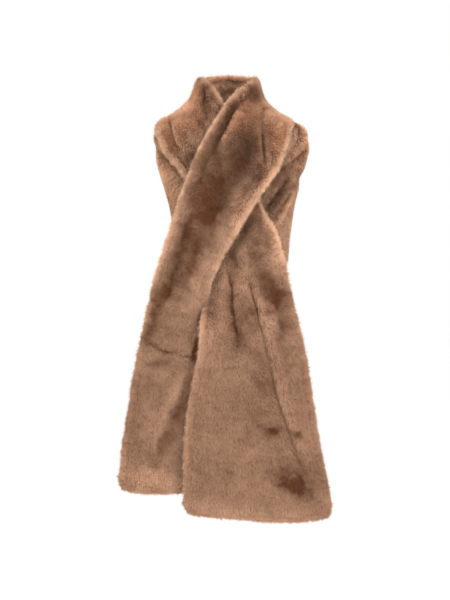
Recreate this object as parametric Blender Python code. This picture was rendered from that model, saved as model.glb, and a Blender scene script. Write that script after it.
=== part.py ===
"""A long plush scarf as it is worn: round the back of the neck, over both shoulders,
crossed once on the chest and hanging to two square ends.

Metres, +Z up. The wearer faces -Y, and the origin is the middle of the neck at the height of its base.
The cloth is one straight strip with pile on both faces. It is built as three stretches that meet at the
tops of the shoulders: the back with its collar and sides, the stretch that crosses over, and the one
that crosses under. A small woven label lies inside the collar.
"""

from collections import namedtuple

import bmesh
import bpy
import numpy as np

MM = 0.001

# Driving sizes of the cloth.
WALL = 24 * MM  # backing with 11 mm of pile on each face
RIM_RADIUS = 12 * MM  # how far in from an edge the pile rounds off
CORNER_RADIUS = 16 * MM
EDGE_THICKNESS = 0.8 * MM  # what is left of the wall at the very edge
SEAM_GAP = 0.3 * MM
FOOT_GAP = 0.4 * MM  # between the collar and the back, whose cut ends are bent

# How finely each stretch is divided.
ROWS_ALONG_FRONT = 46
COLUMNS_ACROSS = 27
COLUMNS_DOWN_BACK = 21
ROWS_ROUND_BACK = 49
FOLD_STEPS = 25
INNER_SHARE = 0.7  # how much of a fold the inner face follows

# Rings of the back stretch, from the collar's top edge to the lower hem, in millimetres and degrees.
# shift moves the ring sideways, half_width is at the shoulder, back is the depth at the spine and front
# the depth of the part that wraps forward, spine_z and side_z are heights, and the wraps say how far the
# ring goes round from the spine on each side.
Ring = namedtuple("Ring", "shift half_width back front spine_z side_z right_wrap left_wrap")
BACK_RINGS = (
    Ring(-8, 61, 58, 60, 86, 74, 90, 90),  # collar top
    Ring(-9, 68, 62, 60, 54, 49, 90, 90),
    Ring(-9, 79, 68, 60, 20, 23, 90, 90),  # foot of the collar
    Ring(-10, 98, 78, 60, -12, 3, 90, 90),
    Ring(-11, 128, 90, 60, -46, -16, 90, 90),
    Ring(-10, 146, 97, 60, -66, -25, 90, 90),
    Ring(-4, 161, 103, 60, -86, -38, 90, 97),  # tip of the shoulder
    Ring(2, 166, 109, 62, -116, -68, 104, 112),
    Ring(1, 158, 113, 68, -148, -112, 124, 130),
    Ring(1, 145, 113, 76, -181, -156, 138, 142),
    Ring(2, 130, 110, 82, -215, -212, 145, 146),
    Ring(2, 121, 105, 84, -250, -275, 147, 147),
    Ring(2, 115, 101, 84, -286, -346, 146, 146),  # lower hem
)
SHOULDER_ANGLE = 90
COLLAR_FOOT_RING = 3  # the ring at which the collar stretch ends
OVER_SEAM_RING = 5  # the ring at which each front stretch ends its seam with the back
UNDER_SEAM_RING = 6
SEAM_HOLD = 12 * MM  # for this far below each seam the back stays behind the front stretch
SEAM_END_ANGLE = 87

# The front stretches, a section every 60 to 90 mm from the shoulder to the hem, in millimetres.
# Each is a curve across the cloth through four points: its inner edge, which is at the neck, the
# foot of the roll along that edge, the middle of the cloth, and the outer edge.
Section = namedtuple("Section", "edge roll middle outer")
OVER_SECTIONS = (
    Section((50, -42, 64), (66, -44, 8), (95, -50, -18), (139, -38, -45)),
    Section((24, -66, 40), (38, -82, -2), (77, -88, -38), (130, -70, -82)),
    Section((-2, -88, 5), (16, -102, -20), (58, -112, -74), (116, -90, -121)),
    Section((-35, -107, -42), (-13, -122, -57), (41, -131, -108), (98, -106, -154)),
    Section((-66, -117, -87), (-37, -134, -98), (19, -143, -146), (75, -126, -186)),
    Section((-90, -120, -132), (-59, -139, -146), (-3, -150, -186), (52, -140, -224)),
    Section((-109, -117, -179), (-78, -138, -194), (-22, -152, -229), (30, -148, -263)),
    Section((-129, -112, -238), (-94, -134, -252), (-44, -151, -285), (-1, -152, -313)),
    Section((-147, -108, -299), (-111, -130, -312), (-65, -148, -341), (-27, -151, -360)),
    Section((-165, -106, -360), (-128, -128, -371), (-86, -142, -395), (-51, -147, -409)),
    Section((-181, -105, -427), (-142, -124, -434), (-99, -130, -447), (-61, -114, -458)),
    Section((-195, -106, -488), (-153, -122, -495), (-104, -118, -505), (-42, -106, -514)),
    Section((-212, -107, -571), (-164, -119, -577), (-104, -110, -584), (-18, -101, -589)),
    Section((-228, -108, -667), (-173, -117, -671), (-99, -106, -675), (15, -98, -676)),
    Section((-242, -109, -761), (-181, -116, -764), (-94, -104, -767), (45, -97, -766)),
    Section((-249, -109, -840), (-182, -114, -848), (-93, -103, -847), (67, -96, -838)),
)
UNDER_SECTIONS = (
    Section((-54, -42, 62), (-78, -44, 6), (-113, -46, -26), (-164, -32, -62)),
    Section((-37, -58, 42), (-57, -70, -8), (-93, -78, -57), (-148, -60, -102)),
    Section((-21, -64, 5), (-42, -78, -45), (-77, -88, -98), (-120, -78, -134)),
    Section((6, -76, -41), (-11, -89, -84), (-51, -97, -139), (-90, -92, -178)),
    Section((32, -88, -99), (12, -99, -139), (-27, -107, -196), (-68, -104, -235)),
    Section((52, -97, -165), (34, -109, -201), (-5, -115, -253), (-56, -112, -294)),
    Section((69, -104, -222), (52, -117, -253), (8, -120, -303), (-56, -117, -344)),
    Section((97, -102, -274), (71, -120, -305), (17, -122, -349), (-58, -117, -388)),
    Section((117, -102, -340), (85, -122, -362), (22, -128, -401), (-57, -124, -431)),
    Section((132, -104, -408), (93, -123, -423), (22, -133, -456), (-63, -141, -482)),
    Section((150, -106, -478), (101, -124, -493), (24, -136, -516), (-69, -140, -536)),
    Section((166, -108, -554), (110, -124, -566), (23, -136, -583), (-85, -138, -596)),
    Section((181, -110, -645), (119, -124, -656), (19, -135, -666), (-97, -135, -670)),
    Section((198, -110, -750), (132, -123, -758), (15, -132, -764), (-104, -133, -765)),
    Section((216, -110, -837), (141, -122, -843), (15, -131, -843), (-106, -131, -838)),
    Section((225, -110, -900), (142, -121, -911), (19, -130, -902), (-105, -130, -889)),
)

# Folds, each a trough in the outer face, or a ridge where its depth is negative, that bends through
# three places and dies out at both ends. lean makes the side to the right of its run gentler.
# On the front a place is its sideways and upward position, and on the back it is its distance round
# from the spine and down from the collar's edge. Millimetres.
Fold = namedtuple("Fold", "start middle end half_width depth lean")
OVER_FOLDS = (
    Fold((24, 30), (-18, -59), (-80, -178), 13, 13, -0.3),  # behind the roll at the neck
    Fold((-92, -215), (-112, -340), (-132, -470), 19, 7, 0),
    Fold((74, 0), (70, -70), (82, -158), 13, 12, 0.3),  # from the shoulder down to the chest
    Fold((2, -60), (-7, -151), (-40, -270), 22, 5, 0),
    Fold((108, -60), (56, -183), (-16, -296), 16, -5, 0),
    Fold((-58, -415), (-70, -456), (-90, -520), 13, 9, 0.3),  # where the ends change over
    Fold((-133, -500), (-159, -641), (-177, -860), 28, 6, 0),
    Fold((-60, -560), (-80, -690), (-90, -880), 24, -4, 0),
)
UNDER_FOLDS = (
    Fold((-54, 50), (-58, 20), (-62, -25), 12, 9, 0),  # where the collar turns
    Fold((-130, -20), (-121, -73), (-84, -150), 13, 12, 0.3),  # over the collar bone
    Fold((-92, -30), (-77, -62), (-60, -100), 14, -5, 0),
    Fold((-11, -280), (2, -318), (24, -350), 13, 9, 0),  # gathers below the crossing
    Fold((2, -380), (7, -449), (12, -540), 13, 12, 0),
    Fold((34, -335), (89, -571), (170, -840), 14, 13, 0.3),  # the long pleat
    Fold((100, -330), (106, -401), (96, -480), 18, 7, 0),
    Fold((-57, -450), (-85, -641), (-88, -860), 18, -4, 0),
    Fold((60, -560), (72, -700), (96, -880), 22, -4, 0),
)
BACK_FOLDS = (
    Fold((-250, 170), (-60, 235), (90, 300), 26, 7, 0),
    Fold((260, 150), (90, 225), (-40, 330), 26, 7, 0),
    Fold((-190, 100), (-110, 130), (-30, 180), 20, 6, 0),
    Fold((160, 90), (100, 125), (40, 175), 20, 6, 0),
    Fold((205, 205), (260, 270), (330, 340), 16, 9, 0.3),  # on the wearer's left side
    Fold((180, 290), (240, 330), (300, 380), 16, 6, 0),
    Fold((-205, 210), (-260, 260), (-320, 320), 16, 8, 0),
)

# The label, a strip of satin that follows the inside of the collar.
LABEL_WIDTH = 38 * MM
LABEL_HEIGHT = 18 * MM
LABEL_THICKNESS = 1.2 * MM
LABEL_MIDDLE = (2 * MM, 24 * MM)  # sideways and up
LABEL_TILT = 0.2  # rise for each metre sideways
LABEL_COLUMNS = 8

PILE_COLOUR = (0.42, 0.24, 0.15, 1)
LABEL_COLOUR = (0.80, 0.68, 0.56, 1)


def smooth(knots, values, places):
    """A cubic curve through values at the knots, read at other places along them."""
    knots = np.asarray(knots, float)
    values = np.asarray(values, float)
    slopes = np.gradient(values, knots, axis=0)
    low = np.clip(np.searchsorted(knots, places, side="right") - 1, 0, len(knots) - 2)
    step = knots[low + 1] - knots[low]
    part = (places - knots[low]) / step
    shape = (-1,) + (1,) * (values.ndim - 1)
    step, part = step.reshape(shape), part.reshape(shape)
    start = (1 + 2 * part) * (1 - part) ** 2 * values[low] + part * (1 - part) ** 2 * step * slopes[low]
    end = part**2 * (3 - 2 * part) * values[low + 1] + part**2 * (part - 1) * step * slopes[low + 1]
    return start + end


def lengths_along(points):
    """The distance of each point of a curve from its start."""
    steps = np.linalg.norm(np.diff(points, axis=0), axis=-1)
    return np.concatenate([[0], np.cumsum(steps)])


def edge_spaced(length, count, start_rounded, end_rounded):
    """Places from 0 to length, with a few close together at each rounded edge."""
    close = RIM_RADIUS * np.array([0, 0.12, 0.45, 1])
    first = close if start_rounded else np.array([0.0])
    last = length - close[::-1] if end_rounded else np.array([length])
    inner = np.linspace(first[-1], last[0], count - len(first) - len(last) + 2)[1:-1]
    return np.concatenate([first, inner, last])


def across_curve(points):
    """A fine curve through a section's few points, and the distance of each of its points."""
    knots = lengths_along(points)
    fine = smooth(knots, points, np.linspace(0, knots[-1], 60))
    return fine, lengths_along(fine)


def rounding(distance):
    """The share of the wall that is left at a distance in from an edge."""
    inward = np.clip(distance / RIM_RADIUS, 0, 1)
    return np.sqrt(1 - (1 - inward) ** 2)


def surface_normals(grid):
    """Unit normals of a grid of points."""
    along = np.gradient(grid, axis=0)
    across = np.gradient(grid, axis=1)
    normals = np.cross(along, across)
    return normals / np.linalg.norm(normals, axis=2, keepdims=True)


def fold_relief(folds, places):
    """How far the cloth moves outward at each place of a grid, in metres."""
    relief = np.zeros(places.shape[:2])
    share = np.linspace(0, 1, FOLD_STEPS)
    to_middle = 4 * share * (1 - share)
    to_end = share * (2 * share - 1)
    to_start = 1 - to_middle - to_end
    for fold in folds:
        ends = np.array([fold.start, fold.middle, fold.end]) * MM
        curve = np.stack([to_start, to_middle, to_end], axis=1) @ ends
        run = np.gradient(curve, axis=0)
        run /= np.linalg.norm(run, axis=1, keepdims=True)
        offsets = places[:, :, None, :] - curve
        nearest = np.argmin(np.linalg.norm(offsets, axis=3), axis=2)
        offset = np.take_along_axis(offsets, nearest[..., None, None], axis=2)[:, :, 0]
        aside = offset[..., 0] * run[nearest, 1] - offset[..., 1] * run[nearest, 0]
        width = fold.half_width * MM * (1 + fold.lean * np.sign(aside))
        fade = np.sin(np.pi * share[nearest]) ** 0.6
        relief -= fold.depth * MM * fade * np.exp(-((aside / width) ** 2))
    return relief


def wall_object(name, outer, inner, colour):
    """A closed wall between two grids of points, joined round their borders."""
    rows, columns = outer.shape[:2]
    mesh = bpy.data.meshes.new(name)
    body = bmesh.new()
    faces_out = [[body.verts.new(point) for point in row] for row in outer]
    faces_in = [[body.verts.new(point) for point in row] for row in inner]
    for row in range(rows - 1):
        for column in range(columns - 1):
            for grid, order in ((faces_out, 1), (faces_in, -1)):
                corners = [
                    grid[row][column],
                    grid[row + 1][column],
                    grid[row + 1][column + 1],
                    grid[row][column + 1],
                ]
                body.faces.new(corners[::order])
    border = [(row, 0) for row in range(rows)]
    border += [(rows - 1, column) for column in range(1, columns)]
    border += [(row, columns - 1) for row in range(rows - 2, -1, -1)]
    border += [(0, column) for column in range(columns - 2, 0, -1)]
    for (row, column), (next_row, next_column) in zip(border, border[1:] + border[:1]):
        body.faces.new(
            [
                faces_out[row][column],
                faces_in[row][column],
                faces_in[next_row][next_column],
                faces_out[next_row][next_column],
            ]
        )
    bmesh.ops.recalc_face_normals(body, faces=body.faces)
    body.to_mesh(mesh)
    body.free()
    mesh.shade_smooth()
    made = bpy.data.objects.new(name, mesh)
    made.data.materials.append(plain_material(name, colour))
    bpy.context.scene.collection.objects.link(made)
    return made


def plain_material(name, colour):
    material = bpy.data.materials.new(name)
    material.use_nodes = True
    shader = material.node_tree.nodes["Principled BSDF"]
    shader.inputs["Base Color"].default_value = colour
    shader.inputs["Roughness"].default_value = 0.9
    shader.inputs["Metallic"].default_value = 0
    return material


def ring_values():
    """The rings' sizes in metres, and the distance of each ring down the cloth at the spine."""
    sizes = np.array(BACK_RINGS, float)
    sizes[:, :6] *= MM
    down = lengths_along(sizes[:, [2, 4]])
    return sizes, down


def ring_points(sizes, angle):
    """Points of rings at an angle from the spine, in degrees. Positive angles go to the wearer's left."""
    shift, half_width, back, front, spine_z, side_z = sizes[:, :6].T
    turn = np.radians(angle)
    depth = np.where(np.abs(angle) > SHOULDER_ANGLE, front, back)
    way = np.minimum(np.abs(angle), SHOULDER_ANGLE) / SHOULDER_ANGLE
    drop = way**2 * (3 - 2 * way)
    height = spine_z + (side_z - spine_z) * drop
    return np.stack([shift + half_width * np.sin(turn), depth * np.cos(turn), height], axis=1)


def shoulder_section(side, last_ring):
    """The section across the cloth at the top of a shoulder, from the collar's edge to a ring."""
    sizes, _ = ring_values()
    return ring_points(sizes[: last_ring + 1], np.full(last_ring + 1, side * SHOULDER_ANGLE))


def build_back():
    """The collar, the back and the two sides that wrap forward under the front stretches."""
    sizes, down = ring_values()
    levels = edge_spaced(down[-1], COLUMNS_DOWN_BACK, True, True)
    seam_ends = down[[OVER_SEAM_RING, UNDER_SEAM_RING]]
    for end in (*seam_ends, *(seam_ends + SEAM_HOLD)):
        levels = np.append(levels[np.abs(levels - end) > SEAM_HOLD / 2], end)
    foot = down[COLLAR_FOOT_RING]
    levels = np.append(levels[np.abs(levels - foot) > RIM_RADIUS / 4], [foot - FOOT_GAP / 2, foot + FOOT_GAP / 2])
    levels = np.sort(levels)
    below = int(np.searchsorted(levels, foot))
    fine = smooth(down, sizes, levels)
    seam_right = levels <= down[UNDER_SEAM_RING]
    seam_left = levels <= down[OVER_SEAM_RING]
    for seam, ring, column in ((seam_right, UNDER_SEAM_RING, 6), (seam_left, OVER_SEAM_RING, 7)):
        fine[levels <= down[ring] + SEAM_HOLD, column] = SEAM_END_ANGLE
        fine[seam, column] = SHOULDER_ANGLE
    shares = np.linspace(-1, 1, ROWS_ROUND_BACK)
    grid = []
    for share in shares:
        wrap = fine[:, 6] if share < 0 else fine[:, 7]
        grid.append(ring_points(fine, share * wrap))
    grid = np.array(grid)
    grid[0, seam_right, 1] = SEAM_GAP / 2
    grid[-1, seam_left, 1] = SEAM_GAP / 2
    normals = surface_normals(grid)
    for end, seam in ((0, seam_right), (-1, seam_left)):
        normals[end, seam, 1] = 0
    normals[:, below - 1 : below + 1] = normals[:, below - 1 : below + 1].sum(axis=1, keepdims=True)
    normals /= np.linalg.norm(normals, axis=2, keepdims=True)
    along = np.array([lengths_along(grid[:, k]) for k in range(grid.shape[1])]).T
    across = np.array([lengths_along(row) for row in grid])
    from_right = along + RIM_RADIUS * seam_right
    from_left = along[-1:] - along + RIM_RADIUS * seam_left
    share_side = rounding(np.minimum(from_left, from_right))
    share_edge = rounding(np.minimum(across, across[:, -1:] - across))
    half = np.maximum(WALL / 2 * share_side * share_edge, EDGE_THICKNESS / 2)[..., None]
    middle = len(shares) // 2
    places = np.stack([along - along[middle], across], axis=2)
    relief = (fold_relief(BACK_FOLDS, places) * share_side * share_edge)[..., None]
    outer = grid + normals * (half + relief)
    inner = grid - normals * (half - relief * INNER_SHARE)
    wall_object("collar_stretch", outer[:, :below], inner[:, :below], PILE_COLOUR)
    wall_object("back_stretch", outer[:, below:], inner[:, below:], PILE_COLOUR)


def front_grid(sections, start):
    """The middle surface of a front stretch, with its distances along and across the cloth."""
    rows = [across_curve(start)] + [across_curve(np.array(section) * MM) for section in sections]
    shares = np.linspace(0, 1, 31)
    curves = []
    for points, distance in rows:
        at = shares * distance[-1]
        curves.append(np.stack([np.interp(at, distance, points[:, axis]) for axis in range(3)], axis=1))
    curves = np.array(curves)
    knots = lengths_along(curves.mean(axis=1))
    places = edge_spaced(knots[-1], ROWS_ALONG_FRONT, False, True)
    full = smooth(knots, curves, places)
    grid, across = [], []
    for row in full:
        distance = lengths_along(row)
        at = edge_spaced(distance[-1], COLUMNS_ACROSS, True, True)
        grid.append(np.stack([np.interp(at, distance, row[:, axis]) for axis in range(3)], axis=1))
        across.append(at)
    grid, across = np.array(grid), np.array(across)
    return grid, np.repeat(places[:, None], grid.shape[1], axis=1), across


def round_corners(grid, along, across):
    """Pulls the two corners of the hem in to a quarter circle."""
    inward = np.minimum(across, across[:, -1:] - across)
    missing = np.clip(CORNER_RADIUS - inward, 0, CORNER_RADIUS)
    lift = CORNER_RADIUS - np.sqrt(CORNER_RADIUS**2 - missing**2)
    near_hem = np.clip(1 - (along[-1:] - along) / (3 * CORNER_RADIUS), 0, 1)
    upward = grid[-2:-1] - grid[-1:]
    upward = upward / np.linalg.norm(upward, axis=2, keepdims=True)
    return grid + upward * (lift * near_hem)[..., None]


def build_front(name, side, sections, last_ring, folds):
    """A stretch from the top of one shoulder across the chest to its hanging end."""
    grid, along, across = front_grid(sections, shoulder_section(side, last_ring))
    grid[0, :, 1] = -SEAM_GAP / 2
    grid = round_corners(grid, along, across)
    normals = surface_normals(grid) * side
    normals[0, :, 1] = 0
    normals /= np.linalg.norm(normals, axis=2, keepdims=True)
    share_edge = rounding(np.minimum(across, across[:, -1:] - across))
    share_hem = rounding(along[-1:] - along)
    half = np.maximum(WALL / 2 * share_edge * share_hem, EDGE_THICKNESS / 2)[..., None]
    from_seam = np.clip(along / (40 * MM), 0, 1)
    relief = (fold_relief(folds, grid[:, :, [0, 2]]) * from_seam * share_edge * share_hem)[..., None]
    outer = grid + normals * (half + relief)
    inner = grid - normals * (half - relief * INNER_SHARE)
    wall_object(name, outer, inner, PILE_COLOUR)


def build_label():
    """The label, bent to the inside of the collar."""
    sizes, down = ring_values()
    levels = np.linspace(0, down[-1], 200)
    fine = smooth(down, sizes, levels)
    sideways = LABEL_MIDDLE[0] + np.linspace(-LABEL_WIDTH / 2, LABEL_WIDTH / 2, LABEL_COLUMNS + 1)
    grid = []
    for drop in (-LABEL_HEIGHT / 2, 0, LABEL_HEIGHT / 2):
        heights = LABEL_MIDDLE[1] - drop + LABEL_TILT * (sideways - LABEL_MIDDLE[0])
        level = np.interp(-heights, -fine[:, 4], levels)
        ring = np.array([np.interp(level, levels, fine[:, k]) for k in range(5)]).T
        turn = np.arcsin((sideways - ring[:, 0]) / ring[:, 1])
        grid.append(np.stack([sideways, ring[:, 2] * np.cos(turn), heights], axis=1))
    grid = np.array(grid)
    inward = surface_normals(grid)
    inward *= -np.sign(inward[..., 1:2])
    rear = grid + inward * (WALL / 2 + SEAM_GAP)
    wall_object("neck_label", rear + inward * LABEL_THICKNESS, rear, LABEL_COLOUR)


def main():
    for old in list(bpy.data.objects):
        bpy.data.objects.remove(old, do_unlink=True)
    build_back()
    build_front("over_stretch", 1, OVER_SECTIONS, OVER_SEAM_RING, OVER_FOLDS)
    build_front("under_stretch", -1, UNDER_SECTIONS, UNDER_SEAM_RING, UNDER_FOLDS)
    build_label()


main()
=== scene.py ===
# A long plush scarf, worn: pile on both faces of a thin backing, a standing collar,
# one crossing on the chest and two square ends. Millimetres in the tables, metres in the meshes.
# Left and right are the scarf's own, as worn: its left is towards +X.
import math
from types import SimpleNamespace

import bpy
import numpy as np
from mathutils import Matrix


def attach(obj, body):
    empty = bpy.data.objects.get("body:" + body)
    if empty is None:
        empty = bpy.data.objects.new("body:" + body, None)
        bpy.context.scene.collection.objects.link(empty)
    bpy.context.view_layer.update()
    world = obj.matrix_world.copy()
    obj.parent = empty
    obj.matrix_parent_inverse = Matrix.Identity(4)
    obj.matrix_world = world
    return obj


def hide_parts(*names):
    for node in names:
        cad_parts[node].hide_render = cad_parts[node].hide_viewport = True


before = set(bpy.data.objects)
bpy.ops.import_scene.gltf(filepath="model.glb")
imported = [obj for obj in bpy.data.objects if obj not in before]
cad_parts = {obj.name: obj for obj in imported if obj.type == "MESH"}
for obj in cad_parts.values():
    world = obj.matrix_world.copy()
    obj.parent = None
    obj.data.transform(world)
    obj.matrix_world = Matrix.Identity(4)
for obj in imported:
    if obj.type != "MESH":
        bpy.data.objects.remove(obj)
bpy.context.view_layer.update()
mm = 0.001

cloth = dict(
    backing=3.2,  # half the thickness of the backing with its dense underpile
    edgeInset=9.0,  # the front stretches' backing ends this far in from where the pile ends
    backInset=3.0,  # and the back's
    insetBlend=60,  # over this length from the seam one becomes the other
    hemInset=9.0,  # and this far in from the ends of the strip
    edgeRound=4.0,  # over which the backing thins out to its edge
    edgeThin=0.3,  # half its thickness at the very edge
    reach=12.0,  # how far the pile's tips stand from the middle of the cloth
    seamGap=0.3,  # between two stretches
    seamFlat=40,  # over this length from the seam the folds come up
    cornerRadius=9,
    foldTaper=0.6,  # how soon a fold runs out at its ends
)
pile = dict(
    width=1.4,  # the width of a blade of pile at its root
    widths=(0.75, 1.25),  # the narrowest and widest, as shares of that
    lengths=(0.84, 1.1),  # the shortest and longest, as shares of the pile's reach
    sunk=0.8,  # how deep the roots are set in the backing
    lean=0.8,  # how far it leans along the nap, as a slope
    leastRise=0.35,  # how flat a blade can lie before its length stops making up for it
    rows=0.12,  # how far the pile parts in short rows across the nap
    rowSize=(0.0095, 0.0038),  # a row's length across the nap and its height along it
    tuft=0.14,  # how far tufts part the pile
    stray=0.11,  # and how far each blade strays by itself
    calm=0.4,  # how lively the pile stays on the flat ends, against the bent upper part
    calmFrom=-0.36,  # the heights between which it calms down, in metres
    calmTo=-0.62,
    roll=0.45,  # how far the blades' faces turn about their own length
    upright=1.15,  # how much less the pile leans where the cloth faces up
    rimTurn=1.45,  # how far the pile turns outward at an edge, in radians
    rimStand=0.6,  # how much less it leans there
    rimDense=3.0,  # how much denser it is there
    rimWidth=12.0,  # how far in from the edge that goes
    rimRagged=0.28,  # how uneven the pile's length is there
    rimUneven=(-1, 0.4),  # from the shortest to the longest of them
    raggedWidth=6.0,  # how far in from the edge they are uneven
    wisps=0.18,  # the share of longer hairs there
    wispReach=0.5,  # how much longer they are
    creaseShort=0.6,  # how much shorter the pile looks at the bottom of a crease
    mapShare=(0.06, 0.5, 0.94),  # where a blade's corners lie in its own square of the map
)
# How light the pile is, from 0 for the dark colour to 1 for the light one: the nap's own tone, with painted
# light and painted shade added.
napAndShadeTones = dict(
    middle=0.46,
    stray=0.05,  # how much each blade differs by itself
    height=0.1,  # painted light: how much lighter the bent upper part is
    paintedUpLight=0.15,  # painted light: how much lighter the nap is where the cloth faces up
    rows=0.2,  # how much darker it is where it parts in rows
    rowsFrom=0.1,
    crease=0.7,  # painted shade: how much darker it is at the bottom of a crease
    rimShade=0.12,  # painted shade: and at the rim, where the tips catch more light
    rimWidth=8.0,
    bandMost=0.62,  # how far a band can move the tone
    bandGain=1.5,  # how soon it gets there
    bandTaper=0.5,  # how much weaker a band is at its ends
    creaseTaper=0.85,
    bandWander=6.0,  # how far noise bends the bands, the creases and the rows, in millimetres
    creaseWander=2.0,
    bandRagged=3.0,
)
# The noise in the pile: the size of its patches in metres, its strength and its own step of the seed.
# The swirl is in radians, and the rows' patches are as large as rowSize says.
napNoise = dict(
    swirlWide=(0.075, 0.5, 0),
    swirlFine=(0.03, 0.2, 1),
    tuft=(0.011, 1.0, (2, 3, 4)),
    leanDrift=(0.05, 0.2, 5),
    lengthDrift=(0.02, 0.08, 6),
    toneWide=(0.05, 0.1, 7),
    toneFine=(0.018, 0.1, 8),
    bandWide=(0.022, 0.25, 9),
    rowDrift=(1, 1.0, 10),
    wander=(0.03, 1.0, (11, 12)),
    ragged=(0.009, 1.0, (13, 14)),
    rimDrift=(0.009, 1.0, 15),
    bandFine=(0.01, 0.2, 16),
)

# Rings of the back stretch from the collar's top edge to the hem: sizes in millimetres, and how far
# each goes round from the spine to the right and to the left, in degrees.
backRings = dict(
    shift=(-8, -9, -9, -10, -11, -10, -4, 2, 1, 1, 2, 2, 2),
    halfWidth=(61, 68, 79, 98, 128, 146, 161, 166, 158, 145, 130, 121, 115),
    back=(58, 62, 68, 78, 90, 97, 103, 109, 113, 113, 110, 105, 101),
    front=(60, 60, 60, 60, 60, 60, 60, 62, 68, 76, 82, 84, 84),
    spineZ=(86, 54, 20, -12, -46, -66, -86, -116, -148, -181, -215, -250, -286),
    sideZ=(74, 49, 23, 3, -16, -25, -38, -68, -112, -156, -212, -275, -346),
    rightWrap=(90, 90, 90, 90, 90, 90, 90, 114, 134, 143, 147, 147, 146),
    leftWrap=(90, 90, 90, 90, 90, 90, 112, 126, 138, 145, 147, 147, 146),
)
seamRing = dict(over=5, under=6)
seamHold, seamEndAngle = 12, 87  # how far below the seam the back's side stays, and its angle there
sideReach = 0.09  # from the spine's line to the side, to turn an inset into an angle
backDepth, spineHeight, rightWrap, leftWrap = 2, 4, 6, 7  # columns of the table

# Sections of the front stretches: the neck edge, the foot of the roll, the middle and the outer edge.
overSections = (
    ((50, -42, 64), (66, -44, 8), (95, -50, -18), (135, -38, -45)),
    ((15, -66, 42), (38, -82, -2), (77, -88, -38), (125, -70, -82)),
    ((-11, -88, 8), (16, -102, -20), (58, -112, -74), (110, -90, -121)),
    ((-38, -107, -40), (-13, -122, -57), (41, -131, -108), (93, -106, -154)),
    ((-65, -117, -86), (-37, -134, -98), (19, -143, -146), (70, -126, -186)),
    ((-85, -120, -132), (-59, -139, -146), (-3, -150, -186), (46, -140, -224)),
    ((-104, -117, -179), (-78, -138, -194), (-22, -152, -229), (24, -148, -263)),
    ((-125, -112, -238), (-94, -134, -252), (-44, -151, -285), (-6, -152, -313)),
    ((-145, -108, -299), (-111, -130, -312), (-65, -148, -341), (-30, -151, -360)),
    ((-165, -106, -360), (-128, -128, -371), (-86, -142, -395), (-48, -147, -409)),
    ((-181, -105, -427), (-142, -124, -434), (-99, -130, -447), (-54, -114, -458)),
    ((-195, -106, -488), (-153, -122, -495), (-104, -118, -505), (-42, -106, -514)),
    ((-212, -107, -571), (-164, -119, -577), (-104, -110, -584), (-18, -101, -589)),
    ((-228, -108, -667), (-173, -117, -671), (-99, -106, -675), (15, -98, -676)),
    ((-242, -109, -761), (-181, -116, -764), (-94, -104, -767), (45, -97, -766)),
    ((-249, -109, -840), (-182, -114, -848), (-93, -103, -847), (67, -96, -838)),
)
underSections = (
    ((-50, -43, 58), (-76, -45, 6), (-113, -46, -26), (-164, -32, -62)),
    ((-33, -60, 40), (-55, -72, -8), (-93, -78, -57), (-148, -60, -102)),
    ((-17, -68, 5), (-42, -80, -45), (-77, -88, -98), (-120, -78, -134)),
    ((6, -76, -41), (-11, -89, -84), (-51, -97, -139), (-90, -92, -178)),
    ((32, -88, -99), (12, -99, -139), (-27, -107, -196), (-68, -104, -235)),
    ((52, -97, -165), (34, -109, -201), (-5, -115, -253), (-56, -112, -294)),
    ((69, -104, -222), (52, -117, -253), (8, -120, -303), (-56, -117, -344)),
    ((97, -102, -274), (71, -120, -305), (17, -122, -349), (-58, -117, -388)),
    ((117, -102, -340), (85, -122, -362), (22, -128, -401), (-63, -124, -431)),
    ((132, -104, -408), (93, -123, -423), (22, -133, -456), (-70, -141, -482)),
    ((150, -106, -478), (101, -124, -493), (24, -136, -516), (-73, -140, -536)),
    ((166, -108, -554), (110, -124, -566), (23, -136, -583), (-85, -138, -596)),
    ((181, -110, -645), (119, -124, -656), (19, -135, -666), (-97, -135, -670)),
    ((198, -110, -750), (132, -123, -758), (15, -132, -764), (-104, -133, -765)),
    ((216, -110, -837), (141, -122, -843), (15, -131, -843), (-106, -131, -838)),
    ((225, -110, -900), (142, -121, -911), (19, -130, -902), (-105, -130, -889)),
)

# Folds: start, middle and end, half width, depth and lean. The front's are places seen from the front,
# the back's are distances round from the spine and down from the collar's edge.
overFolds = (
    ((24, 30), (-18, -59), (-80, -178), 11, 13, -0.3),
    ((34, 38), (-28, -50), (-92, -180), 8, -5, 0),
    ((-92, -215), (-116, -340), (-160, -490), 17, 11, 0),
    ((-20, -100), (-38, -230), (-66, -350), 24, 5, 0),
    ((74, 0), (70, -70), (82, -158), 10, 12, 0.4),
    ((2, -60), (-7, -151), (-40, -270), 20, 5, 0),
    ((108, -60), (56, -183), (-16, -296), 14, -5, 0),
    ((-58, -415), (-70, -456), (-90, -520), 9, 9, 0.3),
    ((-133, -500), (-159, -641), (-177, -860), 26, 6, 0),
    ((-60, -560), (-80, -690), (-90, -880), 22, -4, 0),
)
underFolds = (
    ((-44, 48), (-36, 24), (-28, -2), 9, -5, 0),
    ((-54, 50), (-58, 20), (-62, -25), 10, 9, 0),
    ((-130, -20), (-121, -73), (-84, -150), 10, 9, 0.3),
    ((-92, -30), (-77, -62), (-60, -100), 12, -5, 0),
    ((-11, -280), (2, -318), (24, -350), 11, 9, 0),
    ((2, -380), (7, -449), (12, -540), 10, 12, 0),
    ((34, -335), (89, -571), (170, -840), 11, 13, 0.4),
    ((92, -330), (96, -401), (104, -500), 14, 9, 0),
    ((-57, -450), (-85, -641), (-88, -860), 16, -4, 0),
    ((60, -560), (72, -700), (96, -880), 20, -4, 0),
)
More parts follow.
